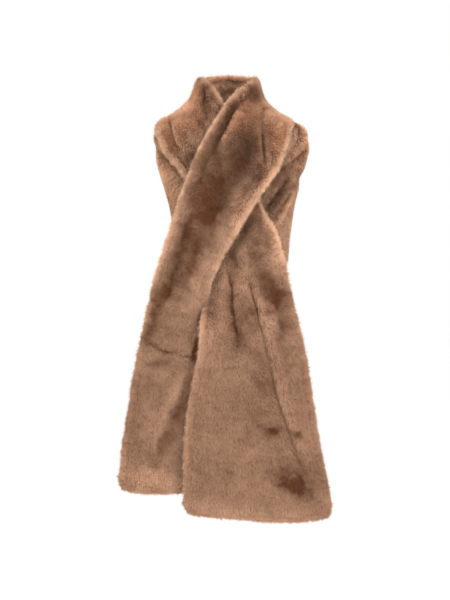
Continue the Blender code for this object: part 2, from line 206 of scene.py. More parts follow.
backFolds = (
    ((-250, 170), (-60, 235), (90, 300), 24, 7, 0),
    ((260, 150), (90, 225), (-40, 330), 24, 7, 0),
    ((-190, 100), (-110, 130), (-30, 180), 18, 6, 0),
    ((160, 90), (100, 125), (40, 175), 18, 6, 0),
    ((205, 205), (260, 270), (330, 340), 13, 9, 0.3),
    ((258, 310), (267, 357), (284, 410), 12, 8, 0),
    ((230, 340), (240, 384), (252, 440), 9, -5, 0),
    ((180, 290), (240, 330), (300, 380), 14, 6, 0),
    ((-205, 210), (-260, 260), (-320, 320), 14, 8, 0),
)

# Thin lines where the pile parts, its blades shorter there and darkened with painted shade: start, middle and
# end, half width and strength.
creaseLines = dict(
    over=(
        ((71, -35), (76, -85), (78, -131), 4.5, 0.7),
        ((67, -190), (32, -247), (-9, -312), 4.5, 1.0),
        ((15, 0), (30, -14), (43, -9), 3.5, 0.5),
        ((10, 4), (-9, -35), (-37, -88), 7, 0.35),
        ((-57, -423), (-66, -451), (-85, -501), 4, 1.0),
        ((-68, -488), (-76, -518), (-90, -549), 3.5, 0.8),
        ((-172, -514), (-146, -530), (-116, -532), 3.5, 0.55),
        ((-120, -536), (-103, -541), (-85, -538), 3, 0.35),
    ),
    under=(
        ((-133, -18), (-125, -61), (-92, -131), 4, 0.75),
        ((-155, -94), (-133, -114), (-103, -162), 4.5, 0.6),
        ((-85, -79), (-77, -92), (-68, -109), 3.5, 0.5),
        ((-11, -345), (-3, -375), (0, -410), 4, 0.5),
        ((-5, -414), (4, -440), (13, -488), 4, 0.5),
        ((37, -371), (54, -436), (80, -541), 5.5, 1.0),
        ((71, -519), (111, -671), (172, -815), 6, 0.42),
    ),
    back=(
        ((232, 348), (243, 380), (257, 424), 4.5, 0.9),
        ((205, 205), (260, 270), (330, 340), 6, 0.3),
        ((-205, 210), (-260, 260), (-320, 320), 6, 0.4),
    ),
)

# Bands where the pile is darker (above 0) or lighter (below 0), partly the nap's own tone, partly painted
# shade in folds and painted light where the cloth turns from the lamps: start, middle and end, half width,
# strength.
napAndShadeBands = dict(
    over=(
        ((10, 8), (-5, -29), (-27, -70), 8, 0.5),
        ((-27, -70), (-51, -131), (-81, -205), 15, 0.5),
        ((32, -75), (28, -96), (19, -131), 20, 0.4),
        ((-24, -118), (-37, -166), (-46, -227), 24, 0.56),
        ((-11, -153), (-11, -183), (-20, -218), 13, 0.3),
        ((41, -105), (41, -118), (37, -136), 12, 0.2),
        ((10, -118), (6, -157), (-7, -196), 18, 0.3),
        ((-15, -190), (-40, -225), (-68, -279), 28, 0.26),
        ((71, -53), (76, -92), (76, -127), 6, 0.5),
        ((37, 43), (45, 32), (50, 19), 10, 0.3),
        ((-77, -249), (-103, -284), (-118, -340), 11, 0.5),
        ((-116, -340), (-129, -379), (-151, -419), 13, 0.5),
        ((-151, -406), (-133, -406), (-112, -410), 12, 0.3),
        ((-153, -423), (-164, -462), (-175, -506), 10, 0.42),
        ((-72, -299), (-70, -310), (-68, -318), 9, 0.4),
        ((-77, -327), (-79, -342), (-83, -362), 11, 0.45),
        ((-90, -266), (-94, -318), (-107, -384), 20, 0.4),
        ((-151, -436), (-129, -445), (-98, -445), 16, 0.16),
        ((-77, -529), (-78, -538), (-81, -547), 8, 1.0),
        ((-177, -556), (-159, -558), (-138, -556), 8, 0.25),
        ((-159, -467), (-146, -471), (-120, -488), 18, 0.1),
        ((-90, -597), (-130, -690), (-172, -772), 16, 0.28),
        ((-81, -663), (-90, -728), (-112, -806), 24, 0.12),
        ((-11, 0), (-51, -70), (-90, -144), 8, -0.2),
        ((-90, -144), (-112, -201), (-137, -300), 10, -0.3),
        ((-128, -255), (-150, -335), (-175, -419), 11, -0.32),
        ((-179, -423), (-188, -462), (-196, -501), 9, -0.2),
        ((19, -14), (-3, -61), (-18, -96), 7, -0.2),
        ((28, -8), (23, -35), (20, -62), 13, -0.26),
        ((117, -80), (112, -124), (67, -183), 15, -0.28),
        ((63, -183), (10, -257), (-55, -388), 12, -0.2),
        # Painted light where the chest turns away from the lamps.
        ((96, -62), (93, -105), (71, -170), 18, -0.46),
        ((-35, -170), (-42, -235), (-53, -310), 26, 0.4),
        ((-109, -589), (-142, -667), (-170, -745), 9, -0.16),
        ((-231, -790), (-176, -806), (-116, -812), 24, -0.28),
    ),
    under=(
        ((-53, 39), (-53, 17), (-55, -7), 8, 0.42),
        ((-27, 0), (-31, -16), (-37, -31), 8, 0.3),
        ((-98, -96), (-88, -109), (-77, -122), 10, 0.34),
        ((-55, -44), (-59, -61), (-68, -79), 9, 0.2),
        ((-7, -312), (2, -318), (15, -332), 12, 0.4),
        ((37, -253), (28, -275), (10, -305), 9, 0.3),
        ((54, -244), (58, -262), (65, -275), 12, 0.4),
        ((42, -292), (52, -324), (62, -356), 17, 0.4),
        ((76, -292), (74, -301), (71, -310), 9, 0.3),
        ((71, -371), (87, -384), (102, -401), 14, 0.6),
        ((85, -397), (98, -414), (115, -432), 16, 0.55),
        ((85, -423), (102, -445), (119, -475), 16, 0.22),
        ((71, -440), (76, -445), (80, -445), 6, 0.3),
        ((106, -462), (113, -473), (119, -484), 9, 0.25),
        ((93, -493), (111, -532), (119, -580), 16, 0.14),
        ((-5, -410), (4, -449), (15, -497), 10, 0.8),
        ((10, -480), (19, -501), (28, -528), 14, 0.22),
        ((24, -423), (39, -449), (43, -480), 18, 0.22),
        ((-3, -353), (2, -379), (-3, -414), 8, 0.16),
        ((50, -523), (58, -554), (67, -589), 18, 0.16),
        ((58, -589), (67, -606), (71, -623), 12, 0.2),
        ((80, -697), (89, -700), (98, -697), 7, 0.5),
        ((135, -704), (139, -708), (141, -715), 6, 0.5),
        ((119, -806), (139, -822), (159, -832), 17, 0.6),
        ((106, -789), (137, -806), (172, -815), 30, 0.16),
        ((-11, -787), (-3, -789), (6, -789), 5, 0.3),
        ((28, -645), (58, -684), (85, -710), 26, 0.1),
        ((63, -236), (87, -279), (106, -340), 11, -0.3),
        ((119, -371), (137, -423), (150, -488), 9, -0.2),
        ((-20, -358), (-22, -423), (-27, -488), 14, -0.16),
        ((54, -401), (69, -458), (89, -532), 7, -0.16),
        ((93, -558), (115, -641), (154, -745), 9, -0.14),
        ((-59, -462), (-68, -532), (-77, -597), 9, -0.2),
        ((-90, -632), (-94, -706), (-98, -815), 9, -0.12),
        ((-77, -867), (19, -885), (172, -889), 20, -0.14),
        # Painted light where the cloth turns away from the lamps.
        ((-155, -40), (-142, -70), (-116, -96), 22, -0.2),
        ((-116, -14), (-94, -44), (-77, -75), 26, -0.2),
        ((-74, 47), (-83, 17), (-94, -5), 14, -0.26),
        ((-120, -92), (-112, -114), (-103, -140), 10, -0.24),
        ((-42, 34), (-29, 17), (-20, 4), 7, -0.1),
    ),
    # Painted light along the collar's top edge, painted shade lower inside it.
    backInner=(
        ((-60, 62), (0, 62), (60, 62), 30, 0.3),
        ((-60, 30), (0, 32), (60, 30), 12, 0.3),
        ((-70, 6), (0, 6), (70, 6), 9, -0.3),
    ),
    back=(
        ((-40, 40), (0, 40), (40, 40), 26, 0.2),
        ((-170, 160), (-100, 200), (-40, 240), 26, 0.3),
        ((190, 120), (130, 190), (60, 250), 26, 0.3),
        ((272, 130), (290, 180), (300, 220), 20, 0.2),
        ((262, 316), (267, 357), (280, 396), 11, 0.5),
        ((222, 350), (232, 380), (247, 424), 8, -0.2),
        # Painted light on the back's sides, which turn away from the lamps.
        ((246, 180), (258, 220), (262, 280), 26, -0.24),
        ((-225, 220), (-245, 297), (-240, 380), 36, -0.3),
        ((-60, 4), (0, 4), (60, 4), 12, -0.12),
    ),
)


# How finely curves are followed: along a mark, across a section, across a stretch and down the collar.
curveSteps = dict(mark=41, section=60, across=31, collar=300)


# Curves and grids of the cloth's middle surface.
def smoothCurve(knots, values, places):
    knots = np.asarray(knots, float)
    values = np.asarray(values, float)
    slopes = np.gradient(values, knots, axis=0)
    low = np.clip(np.searchsorted(knots, places, side="right") - 1, 0, len(knots) - 2)
    step = knots[low + 1] - knots[low]
    part = (places - knots[low]) / step
    shape = (-1,) + (1,) * (values.ndim - 1)
    step, part = step.reshape(shape), part.reshape(shape)
    start = (1 + 2 * part) * (1 - part) ** 2 * values[low] + part * (1 - part) ** 2 * step * slopes[low]
    end = part**2 * (3 - 2 * part) * values[low + 1] + part**2 * (part - 1) * step * slopes[low + 1]
    return start + end


def runLengths(points):
    steps = np.linalg.norm(np.diff(points, axis=0), axis=-1)
    return np.concatenate([[0], np.cumsum(steps)])


def unit(vectors):
    return vectors / np.maximum(np.linalg.norm(vectors, axis=-1, keepdims=True), 1e-12)


def gridNormals(grid):
    return unit(np.cross(np.gradient(grid, axis=0), np.gradient(grid, axis=1)))


# How far each place is to the side of a curve, how far past its ends, and how far along it.
def besideCurve(start, middle, end, places):
    share = np.linspace(0, 1, curveSteps["mark"])
    toMiddle = 4 * share * (1 - share)
    toEnd = share * (2 * share - 1)
    curve = np.stack([1 - toMiddle - toEnd, toMiddle, toEnd], axis=1) @ np.array([start, middle, end]) * mm
    run = unit(np.gradient(curve, axis=0))
    nearest = np.zeros(places.shape[:-1], int)
    least = np.full(places.shape[:-1], np.inf)
    for index, spot in enumerate(curve):
        gap = np.sum((places - spot) ** 2, axis=-1)
        nearest[gap < least] = index
        least = np.minimum(gap, least)
    offset = places - curve[nearest]
    aside = offset[..., 0] * run[nearest, 1] - offset[..., 1] * run[nearest, 0]
    ahead = offset[..., 0] * run[nearest, 0] + offset[..., 1] * run[nearest, 1]
    past = np.where((nearest == 0) | (nearest == len(curve) - 1), np.abs(ahead), 0)
    return aside, past, share[nearest]


def foldRelief(folds, places):
    relief = np.zeros(places.shape[:-1])
    for start, middle, end, halfWidth, depth, lean in folds:
        aside, _, share = besideCurve(start, middle, end, places)
        width = halfWidth * mm * (1 + lean * np.sign(aside))
        bell = np.exp(-((aside / width) ** 2))
        relief -= depth * mm * np.sin(np.pi * share) ** cloth["foldTaper"] * bell
    return relief


def markStrength(marks, places, taper):
    total = np.zeros(len(places))
    for start, middle, end, halfWidth, strength in marks:
        aside, past, share = besideCurve(start, middle, end, places)
        strength = strength * (1 - taper + taper * np.sin(np.pi * share))
        total += strength * np.exp(-(aside**2 + past**2) / (halfWidth * mm) ** 2)
    return total


# A row for each ring, its lengths before its two wraps, and the way down the spine.
def ringTable():
    sizes = np.array([backRings[name] for name in backRings], float).T
    sizes[:, :rightWrap] *= mm
    return sizes, runLengths(sizes[:, [backDepth, spineHeight]])


def ringPoints(sizes, angle):
    shift, halfWidth, back, front, spineZ, sideZ = sizes[:, :rightWrap].T
    turn = np.radians(angle)
    depth = np.where(np.abs(angle) > 90, front, back)
    way = np.minimum(np.abs(angle), 90) / 90
    drop = way**2 * (3 - 2 * way)
    height = spineZ + (sideZ - spineZ) * drop
    return np.stack([shift + halfWidth * np.sin(turn), depth * np.cos(turn), height], axis=1)


def shoulderSection(side, ring):
    sizes, _ = ringTable()
    return ringPoints(sizes[: ring + 1], np.full(ring + 1, side * 90.0))


def acrossCurve(points):
    knots = runLengths(points)
    fine = smoothCurve(knots, points, np.linspace(0, knots[-1], curveSteps["section"]))
    return fine, runLengths(fine)


def resample(row, distance, at):
    return np.stack([np.interp(at, distance, row[:, axis]) for axis in range(3)], axis=1)


# The rows of a front stretch, drawn in from its edges by the length of the pile.
def frontRows(sections, side, ring, rows, columns):
    curves = [acrossCurve(shoulderSection(side, ring))]
    curves += [acrossCurve(np.array(section) * mm) for section in sections]
    shares = np.linspace(0, 1, curveSteps["across"])
    curves = np.array([resample(points, distance, shares * distance[-1]) for points, distance in curves])
    knots = runLengths(curves.mean(axis=1))
    places = np.linspace(0, knots[-1] - cloth["hemInset"] * mm, rows)
    grid, across, width = [], [], []
    for place, row in zip(places, smoothCurve(knots, curves, places)):
        distance = runLengths(row)
        blend = min(place / (cloth["insetBlend"] * mm), 1)
        inset = (cloth["backInset"] + (cloth["edgeInset"] - cloth["backInset"]) * blend) * mm
        at = np.linspace(inset, distance[-1] - inset, columns)
        grid.append(resample(row, distance, at))
        across.append(at - inset)
        width.append(distance[-1] - 2 * inset)
    return np.array(grid), np.array(across), np.array(width), places, knots[-1]


# The finished middle surface of a stretch: its points, outward normals, distances on the cloth and
# how far each point is from a free edge.
def frontSurface(sections, side, ring, folds, rows, columns):
    grid, across, width, places, length = frontRows(sections, side, ring, rows, columns)
    grid[0, :, 1] = -cloth["seamGap"] / 2 * mm
    toHem = places[-1] - places
    inward = np.minimum(across, width[:, None] - across)
    # The corners are rounded by lifting the hem there.
    radius = cloth["cornerRadius"] * mm
    missing = np.clip(radius - inward, 0, radius)
    lift = radius - np.sqrt(radius**2 - missing**2)
    nearHem = np.clip(1 - toHem[:, None] / (3 * radius), 0, 1)
    grid += unit(grid[-2:-1] - grid[-1:]) * (lift * nearHem)[..., None]
    normals = gridNormals(grid) * side
    normals[0, :, 1] = 0
    normals = unit(normals)
    along = np.repeat(places[:, None], columns, axis=1)
    fromSeam = np.clip(along / (cloth["seamFlat"] * mm), 0, 1)
    relief = foldRelief(folds, grid[:, :, [0, 2]]) * fromSeam
    acrossRun = unit(np.gradient(grid, axis=1))
    alongRun = unit(np.gradient(grid, axis=0))
    sideways = np.where((across < width[:, None] / 2)[..., None], -acrossRun, acrossRun)
    hemWay = np.broadcast_to(toHem[:, None], inward.shape)
    edgeOut = np.where((inward < hemWay)[..., None], sideways, alongRun)
    return SimpleNamespace(
        grid=grid, normals=normals, relief=relief, nap=alongRun,
        toEdge=np.minimum(inward, hemWay), edgeOut=edgeOut, places=grid[:, :, [0, 2]],
        acrossNap=across, alongNap=along, seam=along == 0,
        length=length, width=width.mean() + 2 * cloth["edgeInset"] * mm,
    )


def backSurface(rows, columns):
    sizes, down = ringTable()
    inset = cloth["backInset"] * mm
    levels = np.linspace(inset, down[-1] - inset, columns)
    fine = smoothCurve(down, sizes, levels)
    fine[:, rightWrap:] = np.maximum(fine[:, rightWrap:], 90)
    seams = []
    for column, ring in ((rightWrap, seamRing["under"]), (leftWrap, seamRing["over"])):
        seam = levels <= down[ring]
        fine[levels <= down[ring] + seamHold * mm, column] = seamEndAngle
        fine[~seam, column] -= np.degrees(inset / sideReach)
        fine[seam, column] = 90
        seams.append(seam)
    grid = np.array([
        ringPoints(fine, share * fine[:, rightWrap if share < 0 else leftWrap])
        for share in np.linspace(-1, 1, rows)
    ])
    ends = ((0, seams[0]), (-1, seams[1]))
    for end, seam in ends:
        grid[end, seam, 1] = cloth["seamGap"] / 2 * mm
    normals = gridNormals(grid)
    for end, seam in ends:
        normals[end, seam, 1] = 0
    normals = unit(normals)
    seamMask = np.zeros(grid.shape[:2], bool)
    seamMask[0], seamMask[-1] = seams
    along = np.array([runLengths(grid[:, k]) for k in range(columns)]).T
    across = np.array([runLengths(row) for row in grid])
    total = across[:, -1:]
    inward = np.minimum(across, total - across)
    farAway = 1.0  # a seam is no free edge, so it counts as a metre off
    fromRight = along + farAway * seams[0]
    fromLeft = along[-1:] - along + farAway * seams[1]
    sideWay = np.minimum(fromLeft, fromRight)
    places = np.stack([along - along[rows // 2], across + inset], axis=2)
    acrossRun = unit(np.gradient(grid, axis=1))
    alongRun = unit(np.gradient(grid, axis=0))
    upDown = np.where((across < total / 2)[..., None], -acrossRun, acrossRun)
    leftRight = np.where((fromRight < fromLeft)[..., None], -alongRun, alongRun)
    edgeOut = np.where((inward < sideWay)[..., None], upDown, leftRight)
    return SimpleNamespace(
        grid=grid, normals=normals, relief=foldRelief(backFolds, places), nap=acrossRun,
        toEdge=np.minimum(inward, sideWay), edgeOut=edgeOut, places=places,
        acrossNap=along, alongNap=across, seam=seamMask,
        length=along[-1].mean(), width=down[-1],
    )


# Meshes.
def gridFaces(rows, columns, offset, flip):
    index = np.arange(rows * columns).reshape(rows, columns) + offset
    quads = np.stack([index[:-1, :-1], index[1:, :-1], index[1:, 1:], index[:-1, 1:]], axis=-1)
    quads = quads.reshape(-1, 4)
    return quads[:, ::-1] if flip else quads


def meshObject(name, points, faces, material, smooth=True):
    mesh = bpy.data.meshes.new(name)
    sides = faces.shape[1]
    mesh.vertices.add(len(points))
    mesh.vertices.foreach_set("co", points.astype(np.float32).ravel())
    mesh.loops.add(faces.size)
    mesh.loops.foreach_set("vertex_index", faces.astype(np.int32).ravel())
    mesh.polygons.add(len(faces))
    mesh.polygons.foreach_set("loop_start", np.arange(len(faces), dtype=np.int32) * sides)
    mesh.update(calc_edges=True)
    mesh.validate()
    if smooth:
        mesh.shade_smooth()
    mesh.materials.append(material)
    made = bpy.data.objects.new(name, mesh)
    bpy.context.scene.collection.objects.link(made)
    return made


def wallMesh(name, outer, inner, material, flip):
    rows, columns = outer.shape[:2]
    count = rows * columns
    quads = [gridFaces(rows, columns, 0, flip), gridFaces(rows, columns, count, not flip)]
    index = np.arange(count).reshape(rows, columns)
    border = np.concatenate([index[:, 0], index[-1, 1:], index[-2::-1, -1], index[0, -2:0:-1]])
    after = np.roll(border, -1)
    rim = np.stack([border, border + count, after + count, after], axis=1)
    quads.append(rim[:, ::-1] if flip else rim)
    points = np.concatenate([outer.reshape(-1, 3), inner.reshape(-1, 3)])
    return meshObject(name, points, np.concatenate(quads), material)


# Half the thickness of the backing, round at its free edges.
def backingHalf(toEdge):
    inward = np.clip(toEdge / (cloth["edgeRound"] * mm), 0, 1)
    return cloth["backing"] * mm * np.sqrt(1 - (1 - inward) ** 2)


# The backing: a thin closed wall on the middle surface, which takes its folds here.
def backingWall(name, surface, material, flip):
    half = np.maximum(backingHalf(surface.toEdge), cloth["edgeThin"] * mm)[..., None]
    middle = surface.grid + surface.normals * surface.relief[..., None]
    surface.middle = middle
    bent = gridNormals(middle)
    bent *= np.sign(np.sum(bent * surface.normals, axis=2, keepdims=True))
    bent[surface.seam] = surface.normals[surface.seam]
    surface.normals = bent
    return wallMesh(name, middle + bent * half, middle - bent * half, material, flip)


# Smooth random values in space, from -1 to 1, hashed from the corners of a grid of cubes.
def spaceNoise(points, size, seed):
    place = points / size + seed * 17.31
    base = np.floor(place).astype(np.int64)
    part = place - base
    part = part * part * (3 - 2 * part)
    total = np.zeros(len(points))
    for corner in range(8):
        bits = np.array([corner & 1, corner >> 1 & 1, corner >> 2 & 1])
        cell = base + bits
        mixed = cell[:, 0] * 73856093 ^ cell[:, 1] * 19349663 ^ cell[:, 2] * 83492791 ^ seed * 2654435761
        mixed = (mixed ^ mixed >> 13) * 1274126177 & 0xFFFFFFFF
        value = (mixed ^ mixed >> 16) / 0xFFFFFFFF * 2 - 1
        weight = np.prod(np.where(bits, part, 1 - part), axis=1)
        total += value * weight
    return total


def noiseAt(name, places, seed):
    size, strength, step = napNoise[name]
    return strength * spaceNoise(places, size, seed + step)


# Noise with a value of its own along each axis.
def noiseVectors(name, places, seed):
    size, strength, steps = napNoise[name]
    return np.stack([strength * spaceNoise(places, size, seed + step) for step in steps], axis=1)


# Random places over a stretch, closer together at its rim. What comes back reads any grid of the
# stretch at those places.
def scatterRoots(surface, count, random):
    grid = surface.middle
    sideA = grid[1:, :-1] - grid[:-1, :-1]
    sideB = grid[:-1, 1:] - grid[:-1, :-1]
    areas = np.linalg.norm(np.cross(sideA, sideB), axis=2)
    twiceToEdge = surface.toEdge[:-1, :-1] + surface.toEdge[1:, 1:]
    rimHere = np.exp(-(twiceToEdge / (pile["rimWidth"] * mm)) ** 2)
    total = np.cumsum((areas * (1 + pile["rimDense"] * rimHere)).ravel())
    pick = (np.arange(count) + random.random(count)) / count * total[-1]
    cell = np.clip(np.searchsorted(total, pick), 0, len(total) - 1)
    row, column = np.divmod(cell, grid.shape[1] - 1)
    u, v = random.random(count), random.random(count)

    def at(values):
        u1, v1 = (u, v) if values.ndim == 2 else (u[:, None], v[:, None])
        low = values[row, column] * (1 - v1) + values[row, column + 1] * v1
        high = values[row + 1, column] * (1 - v1) + values[row + 1, column + 1] * v1
        return low * (1 - u1) + high * u1

    return at


# What the cloth is like at each root, on the face that the pile stands on.
def rootsOn(surface, face, count, random):
    at = scatterRoots(surface, count, random)
    root = at(surface.middle)
    height = np.clip((root[:, 2] - pile["calmTo"]) / (pile["calmFrom"] - pile["calmTo"]), 0, 1)
    return SimpleNamespace(
        root=root, normal=unit(at(surface.normals)) * face, nap=unit(at(surface.nap)),
        toEdge=at(surface.toEdge), edgeOut=unit(at(surface.edgeOut)), places=at(surface.places),
        flat=np.stack([at(surface.acrossNap), at(surface.alongNap), np.zeros(count)], axis=1),
        height=height, lively=pile["calm"] + (1 - pile["calm"]) * height,
    )


# How deep in a crease each blade stands, how far the bands darken or lighten it, as nap tone and as painted
# shade and light, and where it is in the rows.
def napMarks(part, here, seed):
    wander = noiseVectors("wander", here.root, seed)
    ragged = noiseVectors("ragged", here.root, seed)
    places = here.places + wander * napAndShadeTones["creaseWander"] * mm
    crease = np.clip(markStrength(creaseLines.get(part, ()), places, napAndShadeTones["creaseTaper"]), 0, 1)
    places = here.places + wander * napAndShadeTones["bandWander"] * mm + ragged * napAndShadeTones["bandRagged"] * mm
    # The bands: the nap's own tone together with painted shade and painted light.
    dark = markStrength(napAndShadeBands.get(part, ()), places, napAndShadeTones["bandTaper"])
    dark *= 1 + noiseAt("bandWide", here.root, seed) + noiseAt("bandFine", here.root, seed)
    most = napAndShadeTones["bandMost"]
    dark = np.sign(dark) * most * (1 - np.exp(-np.abs(dark) / most * napAndShadeTones["bandGain"]))
    here.flat[:, :2] += wander * napAndShadeTones["bandWander"] * mm
    rows = noiseAt("rowDrift", here.flat / [*pile["rowSize"], 1], seed)
    return crease, dark, rows


# The way each blade points, and how far it rises for its length. The nap swirls slowly, parts in short
# rows across itself, and tufts part it a little. At an edge it turns outward.
def bladeWays(here, rows, seed, random):
    swirl = noiseAt("swirlWide", here.root, seed) + noiseAt("swirlFine", here.root, seed)
    tuft = noiseVectors("tuft", here.root, seed) * here.lively[:, None]
    fine = random.normal(size=here.root.shape) * pile["stray"]
    beside = np.cross(here.normal, here.nap)
    lay = here.nap * np.cos(swirl)[:, None] + beside * np.sin(swirl)[:, None]
    lean = pile["lean"] * (1 + noiseAt("leanDrift", here.root, seed) + pile["rows"] * rows)
    lean *= 1 - pile["upright"] * np.clip(here.normal[:, 2], 0, 1)
    turn = pile["rimTurn"] * np.clip(1 - here.toEdge / (pile["rimWidth"] * mm), 0, 1)
    up = here.normal * np.cos(turn)[:, None] + here.edgeOut * np.sin(turn)[:, None]
    lean *= 1 - pile["rimStand"] * np.sin(turn)
    direction = unit(up + lay * lean[:, None] + tuft * pile["tuft"] + fine)
    return direction, np.sum(direction * up, axis=1)


# Tips end at the pile's reach, whatever the lean, but fall short in creases and are uneven at a rim.
def bladeLengths(here, rise, crease, seed, random):
    count = len(rise)
    reach = (cloth["reach"] - cloth["backing"]) * mm * (1 - pile["creaseShort"] * crease)
    length = reach / np.clip(rise, pile["leastRise"], 1) * (1 + noiseAt("lengthDrift", here.root, seed))
    length *= random.uniform(*pile["lengths"], count)
    rim = np.exp(-((here.toEdge / (pile["raggedWidth"] * mm)) ** 2))
    uneven = noiseAt("rimDrift", here.root, seed) + random.uniform(*pile["rimUneven"], count)
    wisp = pile["wispReach"] * (random.random(count) < pile["wisps"])
    return length * (1 + rim * (pile["rimRagged"] * uneven + wisp))


# How light each blade is, from 0 to 1: the nap's own tone, with painted light and painted shade added.
def bladeTones(here, face, rows, crease, dark, seed, random):
    tone = noiseAt("toneWide", here.root, seed) + noiseAt("toneFine", here.root, seed)
    tone = napAndShadeTones["middle"] + tone * here.lively
    tone -= napAndShadeTones["rows"] * np.clip(rows - napAndShadeTones["rowsFrom"], 0, 1)
    tone += random.uniform(-napAndShadeTones["stray"], napAndShadeTones["stray"], len(rows))
    # Painted light: lighter on the bent upper part and where the cloth faces up.
    paintedLight = napAndShadeTones["height"] * here.height + napAndShadeTones["paintedUpLight"] * np.clip(here.normal[:, 2], 0, 1)
    # Painted shade at the bottom of a crease; the bands bring the nap's own tone with painted shade and
    # light.
    tone += paintedLight - dark - napAndShadeTones["crease"] * crease
    # Painted shade along the rim of the outer face.
    if face > 0:
        tone -= napAndShadeTones["rimShade"] * np.exp(-((here.toEdge / (napAndShadeTones["rimWidth"] * mm)) ** 2))
    return np.clip(tone, 0, 1)


# The pile's mesh, with the values that its material reads: how far along the blade each corner is,
# and how light it is here, the nap's own tone with painted light and shade. Each blade has its own small
# square on the map.
def bladeMesh(name, points, tone, material):
    count = len(points)
    faces = np.arange(count * 3).reshape(-1, 3)
    made = meshObject(name, points.reshape(-1, 3), faces, material, False)
    for key, values in (("tipShare", np.tile([0.0, 0.0, 1.0], count)), ("toneWithPaintedLight", np.repeat(tone, 3))):
        attribute = made.data.attributes.new(key, "FLOAT", "POINT")
        attribute.data.foreach_set("value", values.astype(np.float32))
    across = math.ceil(math.sqrt(count))
    squares = np.stack(np.divmod(np.arange(count), across), axis=1)[:, None, :]
    low, middle, high = pile["mapShare"]
    corners = np.array([[low, low], [high, low], [middle, high]])
    layer = made.data.uv_layers.new(name="OFBake")
    layer.uv.foreach_set("vector", ((squares + corners) / across).astype(np.float32).ravel())
    print(name, count, "blades")
    return made


# Blades of pile, each a slim point that leans along the nap with its face turned outward.
def growPile(name, surface, face, count, part, material, seed, keep=None):
    random = np.random.default_rng(seed)
    here = rootsOn(surface, face, count, random)
    crease, dark, rows = napMarks(part, here, seed)
    direction, rise = bladeWays(here, rows, seed, random)
    length = bladeLengths(here, rise, crease, seed, random)
    tone = bladeTones(here, face, rows, crease, dark, seed, random)
    root = here.root + here.normal * (backingHalf(here.toEdge) - pile["sunk"] * mm)[:, None]
    tip = root + direction * (length + pile["sunk"] * mm)[:, None]
    rolled = here.normal + pile["roll"] * random.normal(size=(count, 3))
    aside = unit(np.cross(direction, rolled))
    aside *= (pile["width"] / 2 * mm * random.uniform(*pile["widths"], count))[:, None]
    points = np.stack([root - aside, root + aside, tip], axis=1)
    if keep is not None:
        kept = keep(root)
        points, tone = points[kept], tone[kept]
    return bladeMesh(name, points, tone, material)


# Materials.
def nodeOf(tree, kind, **inputs):
    node = tree.nodes.new(kind)
    for name, value in inputs.items():
        node.inputs[name].default_value = value
    return node


def colourMix(tree):
    node = tree.nodes.new("ShaderNodeMix")
    node.data_type = "RGBA"
    return node


def newMaterial(name):
    material = bpy.data.materials.new(name)
    material.use_nodes = True
    tree = material.node_tree
    return material, tree, tree.nodes["Principled BSDF"]


pileLook = dict(
    root=(0.25, 0.118, 0.064, 1),
    dark=(0.166, 0.062, 0.026, 1),
    light=(0.89, 0.575, 0.38, 1),
    mottle=0.06,  # how far the colour drifts between patches
    mottleScale=38.0,
    tipFrom=-0.25,  # where the root's colour starts to give way, as a share of the blade
    tipTo=0.75,  # and where it is gone
    roughness=0.75,
    specular=0.05,
    sheen=0.02,
    sheenRoughness=0.5,
)


# The colour of pile from root to tip and from dark to light, by the nap's tone with its painted light and
# shade, softly mottled.
def pileShadeGroup():
    group = bpy.data.node_groups.new("pileShade", "ShaderNodeTree")
    sockets = (
        ("Tip", "NodeSocketFloat"), ("Tone", "NodeSocketFloat"), ("Root Color", "NodeSocketColor"),
        ("Dark Color", "NodeSocketColor"), ("Light Color", "NodeSocketColor"),
    )
    for name, kind in sockets:
        group.interface.new_socket(name, in_out="INPUT", socket_type=kind)
    group.interface.new_socket("Color", in_out="OUTPUT", socket_type="NodeSocketColor")
    start = group.nodes.new("NodeGroupInput")
    end = group.nodes.new("NodeGroupOutput")
    link = group.links.new
    coordinates = group.nodes.new("ShaderNodeTexCoord")
    mottle = nodeOf(group, "ShaderNodeTexNoise", Scale=pileLook["mottleScale"], Detail=3.0, Roughness=0.6)
    link(coordinates.outputs["Object"], mottle.inputs["Vector"])
    drift = pileLook["mottle"]
    spread = nodeOf(group, "ShaderNodeMapRange",
                    **{"From Min": 0.3, "From Max": 0.7, "To Min": -drift, "To Max": drift})
    link(mottle.outputs["Fac"], spread.inputs["Value"])
    tone = group.nodes.new("ShaderNodeMath")
    tone.operation = "ADD"
    tone.use_clamp = True
    link(start.outputs["Tone"], tone.inputs[0])
    link(spread.outputs["Result"], tone.inputs[1])
    tint = colourMix(group)
    link(tone.outputs["Value"], tint.inputs["Factor"])
    link(start.outputs["Dark Color"], tint.inputs["A"])
    link(start.outputs["Light Color"], tint.inputs["B"])
    shade = colourMix(group)
    link(start.outputs["Tip"], shade.inputs["Factor"])
    link(start.outputs["Root Color"], shade.inputs["A"])
    link(tint.outputs["Result"], shade.inputs["B"])
    link(shade.outputs["Result"], end.inputs["Color"])
    return group


def placeShade(tree, group):
    shade = tree.nodes.new("ShaderNodeGroup")
    shade.node_tree = group
    for name, colour in (("Root Color", "root"), ("Dark Color", "dark"), ("Light Color", "light")):
        shade.inputs[name].default_value = pileLook[colour]
    return shade


